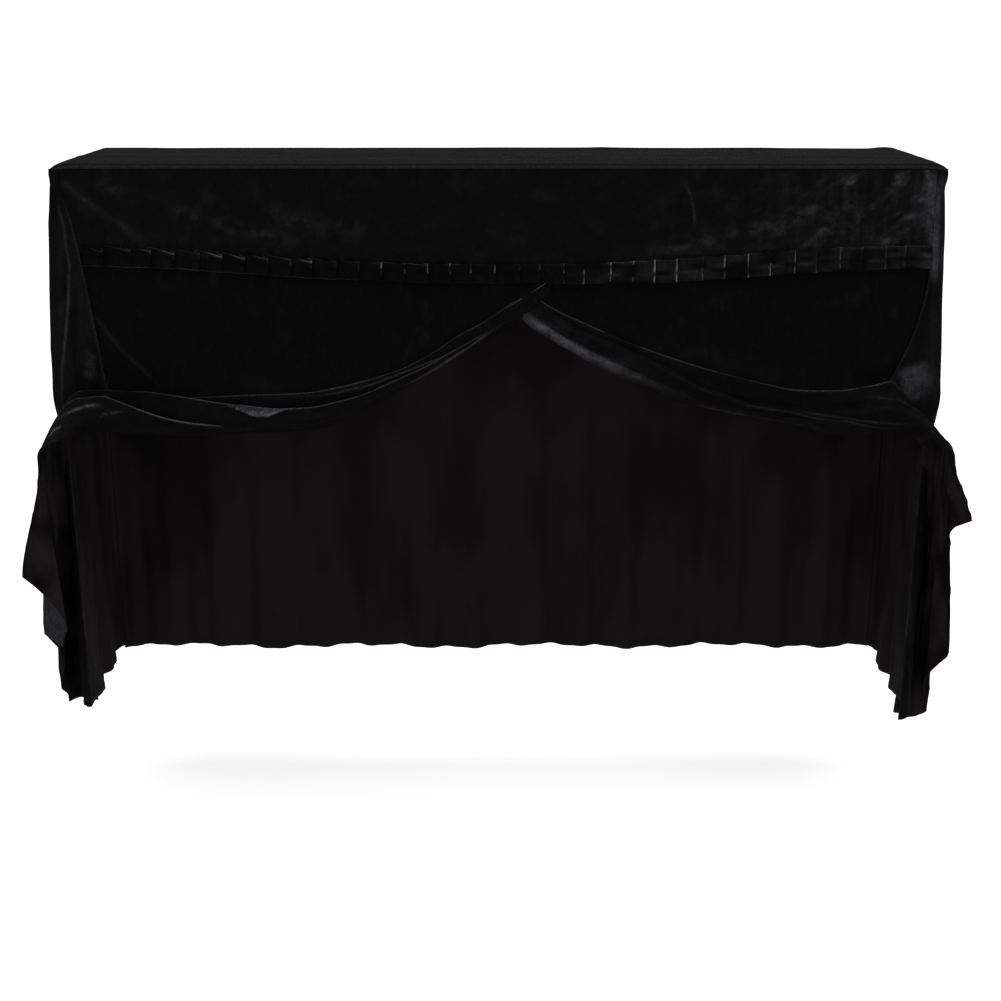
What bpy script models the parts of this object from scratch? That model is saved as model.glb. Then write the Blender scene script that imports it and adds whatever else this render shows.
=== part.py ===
"""Velvet cover for an upright piano, with its two front curtains drawn to the sides.

Metres, +Z up. The origin is the middle of the underside of the top panel, where it lies on the lid.
-Y is the keyboard side. Every piece is a thin sheet of velvet, sewn to its neighbours edge to edge.
"""

import math
from collections import namedtuple

import bpy
from mathutils import Vector

# Sizes of the whole cover
TOP_WIDTH = 1.524
TOP_DEPTH = 0.376
DROP = 1.02
VELVET = 0.0025
SEAM_GAP = 0.0005
LID_SEAM_GAP = 0.0009
BACK_SEAM_GAP = 0.0008

# The top panel turns down over the lid's edge with this radius, and its corners are round in plan
LID_EDGE_RADIUS = 0.006
LID_CORNER_RADIUS = 0.014
SKIRT_TOP = VELVET / 2 - LID_EDGE_RADIUS - LID_SEAM_GAP

# How the skirt hangs: it stands off the case towards the hem, and its lower part falls in flutes
FLUTE_START = 0.42
FLUTE_DEPTH = 0.013
FLUTE_PITCH = 0.105
HEM_WAVE = 0.006
HEM_CORNER_RADIUS = 0.026

# The valance covers the top of the curtains, and its hem carries a pleated ruffle
VALANCE_DROP_MIDDLE = 0.166
VALANCE_DROP_END = 0.134
VALANCE_BELOW_RUFFLE_TOP = 0.014
RUFFLE_HEIGHT = 0.036
RUFFLE_PITCH = 0.0385
RUFFLE_CLOTH = 0.0016
RUFFLE_STAND_OFF = 0.0025
RUFFLE_PLEAT_DEPTH = 0.0048
RUFFLE_END_INSET = 0.002

# The curtains hang behind the valance, and their lower folds lie on the keyboard's ledge
CURTAIN_BEHIND = 0.0034
CURTAIN_TOP = -0.149
OVERLAP_BEHIND = 0.0036
LEDGE_Z = -0.455
LEDGE_END = 0.685
CHEEK_X = 0.725
CHEEK_FALL = 0.033
UNDER_LAP = 0.007

HALF_WIDTH = TOP_WIDTH / 2
HALF_DEPTH = TOP_DEPTH / 2
FRONT_Y = -HALF_DEPTH
FLARE_END = 0.42
SIGNS = {"left": -1, "right": 1}

# The skirt's rows, as depths below the top. The first four are the valance's at its ends, too.
SEAM_DEPTHS = (-SKIRT_TOP, 0.050, 0.100, 0.148)
LOWER_DEPTHS = (0.20, 0.26, 0.315, 0.345, 0.372, 0.395, 0.420, 0.445, 0.475, 0.53, 0.60, 0.68, 0.76, 0.85, 0.94, DROP)

# Where each side panel's front edge runs on the front of the cover. Below `start` it moves inwards by
# `inward` over `span`, as (depth / span) ** power, and from `recede` down it goes back to the corner.
# The skirt stands `flare` off the case at the ledge, and the hanging curtain presses it in by `press`.
SeamLine = namedtuple("SeamLine", "start span inward power crest recede corner_by flare press")
SEAMS = {
    "left": SeamLine(0.040, 0.350, 0.056, 0.72, 0.388, 0.445, 0.475, 0.0275, 0.015),
    "right": SeamLine(0.148, 0.225, 0.0585, 2.1, 0.370, 0.445, 0.475, 0.0175, 0.008),
}

# A curtain's folds, from the seam to the free edge. On the ledge a fold stands `rise` above the free
# edge's height and `out` towards the player: at the parting (1), half way (2) and the ledge's end (3).
# Beside the key bed `rise` stands out sideways: at the top (4) and at the hem (5), which is at `hem`.
Fold = namedtuple("Fold", "rise1 rise2 rise3 out2 out3 rise4 out4 rise5 out5 hem")
LEFT_FOLDS = (
    Fold(0.055, 0.200, 0.024, 0.000, 0.0105, 0.002, 0.0105, 0.006, -0.109, -1.030),
    Fold(0.017, 0.062, 0.062, 0.008, 0.018, 0.008, 0.018, 0.036, -0.084, -1.022),
    Fold(0.014, 0.040, 0.026, 0.003, 0.013, 0.001, 0.026, 0.028, -0.066, -1.002),
    Fold(0.012, 0.032, 0.074, 0.018, 0.028, 0.009, 0.038, 0.036, -0.040, -0.978),
    Fold(0.009, 0.020, 0.016, 0.014, 0.032, 0.001, 0.052, 0.009, 0.011, -0.888),
    Fold(0.006, 0.009, 0.066, 0.024, 0.044, 0.009, 0.066, 0.036, 0.051, -0.836),
    Fold(0.003, 0.004, 0.010, 0.023, 0.050, 0.001, 0.082, 0.020, 0.063, -0.757),
    Fold(0.000, 0.000, 0.004, 0.030, 0.058, 0.004, 0.098, 0.048, 0.106, -0.703),
)
RIGHT_FOLDS = (
    Fold(0.070, 0.232, 0.036, 0.000, 0.0105, 0.001, 0.0105, 0.005, -0.134, -1.050),
    Fold(0.035, 0.072, 0.086, 0.008, 0.018, 0.005, 0.018, 0.015, -0.114, -1.048),
    Fold(0.028, 0.054, 0.050, 0.003, 0.013, 0.000, 0.028, 0.022, -0.099, -1.040),
    Fold(0.022, 0.046, 0.040, 0.020, 0.028, 0.007, 0.042, 0.040, -0.084, -1.030),
    Fold(0.016, 0.026, 0.018, 0.014, 0.034, 0.000, 0.054, 0.016, -0.034, -0.938),
    Fold(0.010, 0.020, 0.024, 0.026, 0.046, 0.007, 0.070, 0.044, 0.021, -0.868),
    Fold(0.004, 0.006, 0.009, 0.023, 0.052, 0.000, 0.080, 0.015, 0.051, -0.632),
    Fold(0.000, 0.000, 0.004, 0.032, 0.060, 0.003, 0.096, 0.038, 0.111, -0.598),
)

# The free edge leaves the ruffle at `parting` and falls to the ledge over `reach` of its way along, as
# (1 - t / reach) ** sag. The folds sink from `sink` on, where 0 is the cheek's edge, and the curtain
# passes the cheek at `cheek_out` from its edge.
Curtain = namedtuple("Curtain", "parting parting_z reach sag behind sink cheek_out folds")
CURTAINS = {
    "left": Curtain(-0.090, -0.218, 0.60, 1.8, 0.0, 0.0, 0.066, LEFT_FOLDS),
    "right": Curtain(0.026, -0.236, 0.75, 1.8, OVERLAP_BEHIND, -1.0, 0.060, RIGHT_FOLDS),
}


def mix(low, high, share):
    return low + (high - low) * share


def eased(share):
    """0 to 1 with no corner at either end."""
    share = min(1.0, max(0.0, share))
    return share * share * (3 - 2 * share)


def spread(first, last, steps):
    """Evenly spaced values, both ends included."""
    return [mix(first, last, i / steps) for i in range(steps + 1)]


def velvet_material(name, colour, roughness):
    material = bpy.data.materials.new(name)
    material.use_nodes = True
    shader = material.node_tree.nodes["Principled BSDF"]
    shader.inputs["Base Color"].default_value = (*colour, 1.0)
    shader.inputs["Roughness"].default_value = roughness
    shader.inputs["Sheen Weight"].default_value = 0.6
    return material


def sheet(name, rows, material, thickness=VELVET):
    """A closed sheet of cloth about a grid of points. Its first row runs along its top edge."""
    width = len(rows[0])
    points = [point for row in rows for point in row]
    faces = [
        (i * width + j, i * width + j + 1, (i + 1) * width + j + 1, (i + 1) * width + j)
        for i in range(len(rows) - 1)
        for j in range(width - 1)
    ]
    mesh = bpy.data.meshes.new(name)
    mesh.from_pydata(points, [], faces)
    mesh.materials.append(material)
    mesh.shade_smooth()
    cloth = bpy.data.objects.new(name, mesh)
    bpy.context.scene.collection.objects.link(cloth)
    thicken = cloth.modifiers.new("Thickness", "SOLIDIFY")
    thicken.thickness = thickness
    thicken.offset = 0.0
    return cloth


def along_spline(points, steps):
    """Catmull-Rom curve through the points, with this many steps between one and the next."""
    ends = [2 * points[0] - points[1], *points, 2 * points[-1] - points[-2]]
    curve = []
    for a, b, c, d in zip(ends, ends[1:], ends[2:], ends[3:]):
        for i in range(steps):
            t = i / steps
            curve.append(
                0.5 * (2 * b + (c - a) * t + (2 * a - 5 * b + 4 * c - d) * t * t + (3 * b - a - 3 * c + d) * t ** 3)
            )
    return [*curve, points[-1]]


def half_width(side, depth):
    """The skirt leans outwards from the lid down to the ledge, and then hangs straight."""
    return HALF_WIDTH + SEAMS[side].flare * min(1.0, depth / FLARE_END)


def corner_radius(depth):
    return mix(LID_CORNER_RADIUS, HEM_CORNER_RADIUS, depth / DROP)


def corner_x(side, depth):
    """Where the round front corner begins on the front."""
    return half_width(side, depth) - corner_radius(depth)


def seam_x(side, depth):
    """Distance from the middle of a side panel's front edge, at this depth below the top."""
    seam = SEAMS[side]
    top = corner_x(side, 0.0) - 0.0015
    moved = min(1.0, max(0.0, depth - seam.start) / seam.span)
    inward = top - seam.inward * moved ** seam.power
    back = eased((depth - seam.recede) / (seam.corner_by - seam.recede))
    return mix(inward, corner_x(side, depth) - 0.004, back)


def skirt_point(side, run, depth, stand_off=0.0):
    """A point of the skirt at a distance `run` round from the front corner's start towards the back."""
    radius = corner_radius(depth)
    bend, straight = skirt_runs(depth)
    x, y, turn = corner_x(side, depth), -HALF_DEPTH, 0.0
    if run < 0:
        x += run
    elif run < bend:
        turn = run / radius
        x, y = x + radius * math.sin(turn), radius * (1 - math.cos(turn)) - HALF_DEPTH
    elif run < bend + straight:
        turn = math.pi / 2
        x, y = x + radius, radius - HALF_DEPTH + run - bend
    elif run < 2 * bend + straight:
        turn = (run - straight) / radius
        x, y = x + radius * math.sin(turn), HALF_DEPTH - radius - radius * math.cos(turn)
    else:
        turn = math.pi
        x, y = x - (run - 2 * bend - straight), HALF_DEPTH
    x += stand_off * math.sin(turn)
    y -= stand_off * math.cos(turn)
    return SIGNS[side] * x, y


def skirt_runs(depth):
    """Lengths of the skirt's round corner and of its straight side at this depth."""
    radius = corner_radius(depth)
    return radius * math.pi / 2, 2 * (HALF_DEPTH - radius)


def top_panel(material):
    """The lid's cloth: flat, and turned down all round over the lid's edge."""
    turn_steps = 3
    turn = [LID_EDGE_RADIUS * math.sin(math.pi / 2 * i / turn_steps) for i in range(1, turn_steps + 1)]

    def positions(half, steps):
        flat = half - LID_EDGE_RADIUS
        inner = spread(-flat, flat, steps)
        return [-flat - over for over in reversed(turn)] + inner + [flat + over for over in turn]

    rows = []
    for y in positions(HALF_DEPTH, 6):
        row = []
        for x in positions(HALF_WIDTH, 14):
            over_x = max(0.0, abs(x) - HALF_WIDTH + LID_EDGE_RADIUS)
            over_y = max(0.0, abs(y) - HALF_DEPTH + LID_EDGE_RADIUS)
            reach = max(over_x, over_y)
            length = math.hypot(over_x, over_y) or 1.0
            shrink = reach / length
            fall = LID_EDGE_RADIUS - math.sqrt(max(0.0, LID_EDGE_RADIUS ** 2 - reach ** 2))
            px = math.copysign(abs(x) - over_x + over_x * shrink, x)
            py = math.copysign(abs(y) - over_y + over_y * shrink, y)
            row.append((px, py, VELVET / 2 - fall))
        rows.append(row)
    return sheet("top_panel", rows, material)


def valance_bottom(x):
    """The valance hangs lowest in the middle."""
    share = (abs(x) - 0.08) / 0.65
    return -mix(VALANCE_DROP_MIDDLE, VALANCE_DROP_END, eased(share))


def valance(material):
    """The front's upper panel, between the two side panels."""
    rows = []
    for depth in SEAM_DEPTHS:
        level = (depth + SKIRT_TOP) / (SEAM_DEPTHS[-1] + SKIRT_TOP)
        row = []
        for share in spread(-1.0, 1.0, 26):
            side = "left" if share < 0 else "right"
            end = seam_x(side, depth) - SEAM_GAP
            bottom = valance_bottom(share * end) - VALANCE_BELOW_RUFFLE_TOP
            row.append((share * end, FRONT_Y, mix(SKIRT_TOP, bottom, level)))
        rows.append(row)
    return sheet("valance", rows, material)


def ruffle(material):
    """A strip of knife pleats sewn along the valance's hem. Each pleat rises slowly and drops back."""
    pleat_shape = ((0.00, 0.0), (0.45, 0.55), (0.86, 1.0), (0.97, 0.05))
    left_end = -(seam_x("left", VALANCE_DROP_END + RUFFLE_HEIGHT) - RUFFLE_END_INSET)
    right_end = seam_x("right", VALANCE_DROP_END + RUFFLE_HEIGHT) - RUFFLE_END_INSET
    pleats = round((right_end - left_end) / RUFFLE_PITCH)
    pitch = (right_end - left_end) / pleats
    places = [
        (left_end + (n + share) * pitch, height)
        for n in range(pleats)
        for share, height in pleat_shape
    ]
    rows = []
    for level in (0.0, 1.0):
        row = []
        for x, height in places:
            spring = mix(0.75, 1.15, level)
            y = FRONT_Y - RUFFLE_STAND_OFF - RUFFLE_PLEAT_DEPTH * height * spring
            row.append((x, y, valance_bottom(x) - RUFFLE_HEIGHT * level))
        rows.append(row)
    return sheet("ruffle", rows, material, RUFFLE_CLOTH)


def flute(run, depth, phase):
    """How far a flute stands out, growing from the ledge's level down to the hem."""
    growth = eased((depth - FLUTE_START) / (DROP - FLUTE_START))
    wave = math.sin(2 * math.pi * run / FLUTE_PITCH + phase) + 0.35 * math.sin(4.7 * math.pi * run / FLUTE_PITCH)
    return FLUTE_DEPTH * growth * wave / 1.35


def side_panel(side, material):
    """Hangs from the lid's side edge, and wraps round the front corner as far as the curtain's seam."""
    rows = []
    for depth in (*SEAM_DEPTHS, *LOWER_DEPTHS):
        depth_share = depth / DROP
        bend, straight = skirt_runs(depth)
        front = seam_x(side, depth) - corner_x(side, depth)
        stations = [
            *spread(front, 0.0, 2)[:-1],
            *spread(0.0, bend, 3)[:-1],
            *spread(bend, bend + straight, 10)[:-1],
            *spread(bend + straight, 1.5 * bend + straight - BACK_SEAM_GAP, 2),
        ]
        row = []
        for run in stations:
            # The hanging curtain presses the panel's front part in, and flutes form behind it.
            behind = eased((run - bend - 0.10) / 0.06)
            stand_off = flute(run, depth, 0.6) * behind * eased((1.5 * bend + straight - run) / 0.04)
            stand_off -= SEAMS[side].press * eased((depth - 0.38) / 0.13) * eased(run / bend) * (1 - behind)
            x, y = skirt_point(side, run, depth, stand_off)
            z = -depth + HEM_WAVE * math.sin(run * 23.0) * depth_share ** 4
            row.append((x, y, z))
        rows.append(row if side == "left" else row[::-1])
    return sheet(f"side_panel_{side}", rows, material)


def back_panel(material):
    """Hangs from the lid's back edge, between the side panels' back seams."""
    rows = []
    for depth in (*SEAM_DEPTHS, *LOWER_DEPTHS):
        depth_share = depth / DROP
        bend, straight = skirt_runs(depth)
        seam = 1.5 * bend + straight + BACK_SEAM_GAP
        end = 2 * bend + straight
        row = []
        for side in ("right", "left"):
            half = corner_x(side, depth)
            stations = [*spread(seam, end, 1)[:-1], *spread(end, end + half, 13)]
            for run in stations if side == "right" else stations[-2::-1]:
                across = half - (run - end)
                wave = flute(SIGNS[side] * across + 2.0, depth, 1.1) * eased((run - seam) / 0.05)
                x, y = skirt_point(side, run, depth, wave * 0.8)
                row.append((x, y, -depth + HEM_WAVE * 0.6 * math.sin(x * 17.0) * depth_share ** 4))
        rows.append(row)
    return sheet("back_panel", rows, material)


def free_edge_z(drape, share):
    """Height of a curtain's free edge along the front: from the parting down to the ledge."""
    left = max(0.0, 1.0 - share / drape.reach)
    return mix(LEDGE_Z, drape.parting_z, left ** drape.sag)


def along_ledge(first, middle, last, share):
    """A smooth value through three, at 0, a half and 1, that changes fastest near the end."""
    if share < 0.5:
        return mix(first, middle, eased(share * 2))
    return mix(middle, last, (share * 2 - 1) ** 1.6)


def curtain_y(drape, share):
    """The flat cloth's place behind the valance. The right curtain's end lies behind the left one."""
    return FRONT_Y + CURTAIN_BEHIND + drape.behind * (1 - eased(share * 2.4))


def fold_on_front(drape, fold, share):
    """A fold's place along the front, where share runs from the parting to the end of the ledge."""
    x = mix(drape.parting, LEDGE_END, share)
    rise = along_ledge(fold.rise1, fold.rise2, fold.rise3, share)
    out = along_ledge(0.0, fold.out2, fold.out3, share)
    return Vector((x, curtain_y(drape, share) - out, free_edge_z(drape, share) + rise))


def top_seam(side, drape, share):
    """The curtain's sewn edge: along the valance, then down behind the side panel's front edge."""
    along, down = 0.78, 0.94
    y = curtain_y(drape, share)
    if share <= along:
        end = seam_x(side, -CURTAIN_TOP) + UNDER_LAP
        return Vector((mix(drape.parting, end, share / along), y, CURTAIN_TOP))
    lowest = SEAMS[side].crest
    depth = mix(-CURTAIN_TOP, lowest, min(1.0, (share - along) / (down - along)))
    # The lap ends above the fold that comes forward over the side panel.
    lap = mix(UNDER_LAP, -0.0035, eased((depth - lowest + 0.055) / 0.035))
    point = Vector((seam_x(side, depth) + lap, y, -depth))
    if share > down:
        on_ledge = fold_on_front(drape, drape.folds[0], 1.0)
        point = point.lerp(on_ledge, (share - down) / (1 - down))
    return point


def flat_cloth(seam, crest, shares):
    """Points down the flat part of a curtain, which comes forward only close above its first fold."""
    points = []
    for share in shares:
        point = seam.lerp(crest, share)
        point.y = mix(seam.y, crest.y, max(0.0, (share - 0.7) / 0.3) ** 2)
        points.append(point)
    return points


def over_cheek(drape, fold, turn):
    """A fold's place as it bends down over the key bed's cheek. turn runs from 0 to 1."""
    angle = max(0.0, turn) * math.pi / 2
    sunk = eased((turn - drape.sink) / (1 - drape.sink))
    rise = mix(fold.rise3, fold.rise4, sunk)
    out = mix(fold.out3, fold.out4, eased((turn + 1) / 1.7))
    x = mix(LEDGE_END, CHEEK_X, 1 + min(0.0, turn))
    x += (drape.cheek_out + fold.rise4) * math.sin(angle)
    z = LEDGE_Z - CHEEK_FALL + (CHEEK_FALL + rise) * math.cos(angle)
    return Vector((x, FRONT_Y + CURTAIN_BEHIND - out, z))


def hanging(drape, fold, share):
    """A fold's place as it falls beside the case, from the cheek to its own part of the hem."""
    rise = mix(fold.rise4, fold.rise5, eased(share * 0.9))
    out = mix(fold.out4, fold.out5, share ** 1.15)
    x = CHEEK_X + drape.cheek_out + rise
    z = mix(LEDGE_Z - CHEEK_FALL, fold.hem, share)
    return Vector((x, FRONT_Y + CURTAIN_BEHIND - out, z))


def curtain(side, material):
    """One front curtain, drawn to its side: flat under the valance, folded on the ledge, then hanging."""
    drape = CURTAINS[side]
    front = [0.0, 0.06, 0.13, 0.20, 0.28, 0.36, 0.45, 0.54, 0.63, 0.72, 0.80, 0.87, 0.91, 0.94, 0.97, 1.0]
    places = [("front", share) for share in front]
    places += [("cheek", turn) for turn in (-0.7, -0.35, 0.0, 0.2, 0.4, 0.6, 0.8, 1.0)]
    places += [("hang", share) for share in spread(0.0, 1.0, 7)[1:]]
    rows = []
    for kind, share in places:
        if kind == "front":
            folds = [fold_on_front(drape, fold, share) for fold in drape.folds]
            folds[0] = top_seam(side, drape, share)
        elif kind == "cheek":
            folds = [over_cheek(drape, fold, share) for fold in drape.folds]
        else:
            folds = [hanging(drape, fold, share) for fold in drape.folds]
        row = flat_cloth(folds[0], folds[1], (0.0, 0.3, 0.6, 0.8, 0.92)) + along_spline(folds[1:], 3)
        row = [(SIGNS[side] * p.x, p.y, p.z) for p in row]
        rows.append(row if side == "left" else row[::-1])
    return sheet(f"curtain_{side}", rows, material)


def clear_scene():
    for old in list(bpy.data.objects):
        bpy.data.objects.remove(old)


def main():
    clear_scene()
    velvet = velvet_material("black_velvet", (0.012, 0.012, 0.014), 0.85)
    trim = velvet_material("black_velvet_ruffle", (0.016, 0.016, 0.018), 0.80)
    top_panel(velvet)
    valance(velvet)
    ruffle(trim)
    back_panel(velvet)
    for side in ("left", "right"):
        side_panel(side, velvet)
        curtain(side, velvet)


main()
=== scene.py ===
"""Looks of the velvet piano cover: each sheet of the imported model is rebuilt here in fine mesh.

Metres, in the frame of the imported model. -Y is the keyboard side. "Own x" is the distance from the
middle towards the side that a piece belongs to, so that one formula serves the left and the right.
"""

import math

import bpy
import numpy as np
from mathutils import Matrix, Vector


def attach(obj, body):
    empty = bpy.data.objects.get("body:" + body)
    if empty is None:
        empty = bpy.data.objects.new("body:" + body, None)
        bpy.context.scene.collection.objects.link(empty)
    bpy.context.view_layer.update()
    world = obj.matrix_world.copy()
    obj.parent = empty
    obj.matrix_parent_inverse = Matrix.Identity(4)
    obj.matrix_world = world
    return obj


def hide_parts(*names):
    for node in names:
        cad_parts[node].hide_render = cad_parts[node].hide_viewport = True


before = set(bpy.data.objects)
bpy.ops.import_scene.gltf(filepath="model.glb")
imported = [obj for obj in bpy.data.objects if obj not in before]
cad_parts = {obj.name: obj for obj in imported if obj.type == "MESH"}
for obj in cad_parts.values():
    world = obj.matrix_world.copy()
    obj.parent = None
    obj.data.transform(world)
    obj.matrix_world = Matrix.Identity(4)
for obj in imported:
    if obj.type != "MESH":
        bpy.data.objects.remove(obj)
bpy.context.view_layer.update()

# The cover's sizes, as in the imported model
HALF_WIDTH = 0.762
HALF_DEPTH = 0.188
DROP = 1.02
VELVET = 0.0025
SEAM_GAP = 0.0005
BACK_SEAM_GAP = 0.0005
LID_EDGE_RADIUS = 0.006
LID_CORNER_RADIUS = 0.014
SKIRT_TOP = VELVET / 2 - LID_EDGE_RADIUS - 0.0009
FLUTE_START = 0.42
FLUTE_DEPTH = 0.013
FLUTE_PITCH = 0.105
HEM_WAVE = 0.006
HEM_CORNER_RADIUS = 0.026
HEM_HEIGHT = 0.014
VALANCE_BELOW_RUFFLE_TOP = 0.014
RUFFLE_HEIGHT = 0.036
CURTAIN_BEHIND = 0.0034
CURTAIN_TOP = -0.149
LEDGE_Z = -0.455
LEDGE_END = 0.685
CHEEK_X = 0.725
CHEEK_FALL = 0.033
UNDER_LAP = 0.007
FRONT_Y = -HALF_DEPTH
FLARE_END = 0.42
SIGNS = {"left": -1, "right": 1}

# The camera, worked out from the photograph, and the height of the floor
EYE_Y = -2.986
EYE_Z = 0.237
LOOKS_DOWN = 16.5
FOCAL_PIXELS = 1620
FRAME_PIXELS = 1001
SENSOR_WIDTH = 36.0
FLOOR_Z = -1.21

# Each side panel's front edge, by its depth below the lid. It leaves the corner at start and comes inward
# over span, and goes back between recede and corner_by. The curtain is sewn to it as far down as crest.
# flare is how much wider the hem is, and press how far the panel is held in below the ledge.
SEAMS = {
    "left": dict(start=0.040, span=0.350, inward=0.056, power=0.72, crest=0.388, recede=0.445,
                 corner_by=0.475, flare=0.0275, press=0.015),
    "right": dict(start=0.148, span=0.225, inward=0.0585, power=2.1, crest=0.370, recede=0.445,
                  corner_by=0.475, flare=0.0175, press=0.008),
}

# Folds from the ledge's end on, in millimetres: rise3 and out3 at the ledge's end, rise4 and out4 beside
# the cheek, rise5, out5 and z at the hem. A row for the sewn edge, then one for each of the seven folds.
HUNG = {
    "left": np.array([
        (24, 10.5, 2, 10.5, 6, -109, -1030),
        (62, 18, 8, 18, 36, -84, -1022),
        (26, 13, 1, 26, 28, -66, -1002),
        (74, 28, 9, 38, 36, -40, -978),
        (16, 32, 1, 52, 9, 11, -888),
        (66, 44, 9, 66, 36, 45, -832),
        (10, 50, 1, 82, -22, 60, -868),
        (4, 58, 4, 98, 48, 106, -703),
    ]) / 1000,
    "right": np.array([
        (36, 10.5, 1, 10.5, 5, -134, -1066),
        (86, 18, 5, 18, 15, -114, -1068),
        (50, 13, 0, 28, 22, -99, -1060),
        (40, 28, 7, 42, 40, -84, -1046),
        (18, 34, 0, 54, 16, -34, -951),
        (24, 46, 7, 70, 44, 21, -886),
        (9, 52, 0, 80, 15, 51, -632),
        (4, 60, 3, 96, 38, 111, -598),
    ]) / 1000,
}
# Own x where the curtains begin at their parting
PARTING = {"left": -0.090, "right": 0.026}
# Where on the way round the cheek the folds start to sink, and how far out they hang
SINK = {"left": 0.0, "right": -1.0}
CHEEK_OUT = {"left": 0.066, "right": 0.060}
# The left curtain overlaps the right one
BEHIND = {"left": 0.0, "right": 0.0036}
# Own x of the sewn edge beside the cheek and at the hem
SEWN_X = {"left": (0.7635, 0.7785), "right": (0.7535, 0.7755)}
for side, (at_cheek, _) in SEWN_X.items():
    HUNG[side][0, 2] = at_cheek - CHEEK_X - CHEEK_OUT[side]

# How far the side panels puff out near the front, in millimetres, as (depth, left, right)
PUFF = [(0, 4.0, 3.4), (8, 4.7, 4.2), (16, 4.4, 4.8), (24, 3.0, 3.8), (32, 2.3, 1.2), (40, 2.9, -0.2),
        (66, 3.6, 1.0), (118, 5.0, 2.5), (170, 5.5, 1.0), (222, 5.4, 1.0), (274, 4.8, 1.9),
        (326, 3.3, 3.0), (378, 2.8, 3.6), (404, 3.2, 5.0), (440, 2.0, 2.5), (480, 0.0, 0.0)]

# The folds along the front, in millimetres, as (own x, z, out): out is how far they stand forward
TRACKS = {
    "left": [
        [(-90, -194, 0), (-40, -226, 3), (-18, -237, 4), (30, -268, 6),
         (71, -289, 8), (109, -315, 9), (160, -343, 10), (203, -359, 11),
         (243, -371, 12), (279, -380, 13), (340, -390, 14), (448, -394, 16),
         (548, -398, 17), (620, -399, 18)],
        [(-90, -199, 0), (-18, -250, 3), (30, -286, 5), (109, -340, 9),
         (203, -385, 11), (300, -418, 13), (400, -425, 14), (500, -421, 14),
         (600, -420, 14)],
        [(-90, -203, 1), (-20, -262, 6), (57, -304, 13), (84, -318, 15),
         (123, -340, 18), (160, -357, 20), (205, -377, 22), (242, -393, 23),
         (278, -403, 24), (340, -415, 26), (385, -416.5, 27), (446, -410, 28),
         (489, -405, 28), (559, -393, 28), (624, -384, 28)],
        [(-90, -207, 1), (-20, -266, 6), (57, -312, 13), (123, -350, 17),
         (205, -390, 23), (278, -424, 30), (340, -437, 34), (410, -437, 36),
         (500, -447, 36), (580, -438, 34)],
        [(-90, -211, 1), (-20, -270, 6), (57, -314, 14), (123, -353, 19),
         (205, -398, 26), (278, -431, 36), (375, -447, 42), (450, -445.5, 45),
         (498, -442, 47), (551, -435, 48), (587, -427, 48), (621, -415, 47),
         (655, -401, 46)],
        [(-90, -214, 1), (-20, -273, 6), (57, -316, 13), (123, -355, 18),
         (205, -402, 25), (278, -436, 36), (375, -452, 46), (498, -452.5, 53),
         (600, -449, 54)],
        [(-90, -218, 1), (-50, -243, 3), (-8, -272, 6), (34, -304, 10),
         (74, -326, 13), (110, -347, 16), (157, -376, 20), (205, -406, 26),
         (260, -434, 36), (320, -450, 44), (400, -454.5, 52), (550, -454.5, 60)],
    ],
    "right": [
        [(26, -203, 0), (79, -233, 3), (107, -249, 4), (150, -268, 6),
         (222, -298, 8), (282, -321, 10), (373, -350, 12), (427, -363, 13),
         (482, -377, 14), (518, -384, 15), (554, -386, 16), (607, -384, 17),
         (654, -378, 18)],
        [(26, -208, 0), (107, -262, 3), (222, -314, 6), (300, -352, 9),
         (400, -398, 13), (500, -416, 15), (600, -418, 15)],
        [(26, -213, 1), (107, -268, 7), (180, -297, 11), (245, -320, 14),
         (289, -339, 16), (353, -373, 19), (400, -391, 21), (443, -406, 23),
         (522, -416, 25), (585, -421, 26)],
        [(26, -222, 1), (107, -288, 7), (180, -323, 12), (245, -352, 16),
         (353, -397, 22), (443, -423, 28), (585, -440, 32)],
        [(26, -230, 3), (44, -252, 8), (65, -267, 12), (114, -296, 17),
         (168, -325, 21), (222, -350, 25), (258, -366, 27), (302, -384, 30),
         (348, -398, 32), (400, -412, 35), (480, -425, 39), (587, -434, 42)],
        [(26, -234, 3), (44, -259, 8), (114, -305, 17), (222, -360, 25),
         (302, -393, 30), (400, -420, 36), (480, -434, 42), (587, -450, 48)],
        [(26, -237, 1), (44, -264, 5), (114, -310, 13), (222, -366, 20),
         (302, -400, 27), (371, -414, 34), (428, -427, 40), (479, -436, 45),
         (533, -445, 50), (587, -454.5, 56)],
    ],
}

# Painted highlights along some of those folds, by number, as (own x, amount)
SHINE = {
    "left": {
        0: [(-0.09, 0.50), (-0.04, 0.42), (0.0, 0.10), (0.05, 0.16), (0.20, 0.15), (0.26, 0.24),
            (0.42, 0.20), (0.52, 0.10), (0.60, 0.0)],
        2: [(-0.02, 0.0), (0.05, 0.12), (0.12, 0.22), (0.26, 0.26), (0.38, 0.36), (0.50, 0.34),
            (0.60, 0.20), (0.70, 0.15), (0.78, 0.14), (0.80, 0.0)],
        4: [(0.48, 0.0), (0.50, 0.42), (0.55, 0.50), (0.63, 0.42), (0.70, 0.24), (0.76, 0.22),
            (0.84, 0.05)],
    },
    "right": {
        0: [(0.03, 0.0), (0.08, 0.24), (0.25, 0.22), (0.40, 0.15), (0.50, 0.20), (0.66, 0.28),
            (0.70, 0.05)],
    },
}


# Small helpers


def eased(share):
    share = np.clip(share, 0.0, 1.0)
    return share * share * (3 - 2 * share)


def mix(low, high, share):
    return low + (high - low) * share


def bell(away, width):
    return np.exp(-((away / width) ** 2))


def from_mm(rows):
    return [tuple(number / 1000 for number in row) for row in rows]


def unit(vectors):
    return vectors / np.maximum(np.linalg.norm(vectors, axis=-1, keepdims=True), 1e-12)


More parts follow.
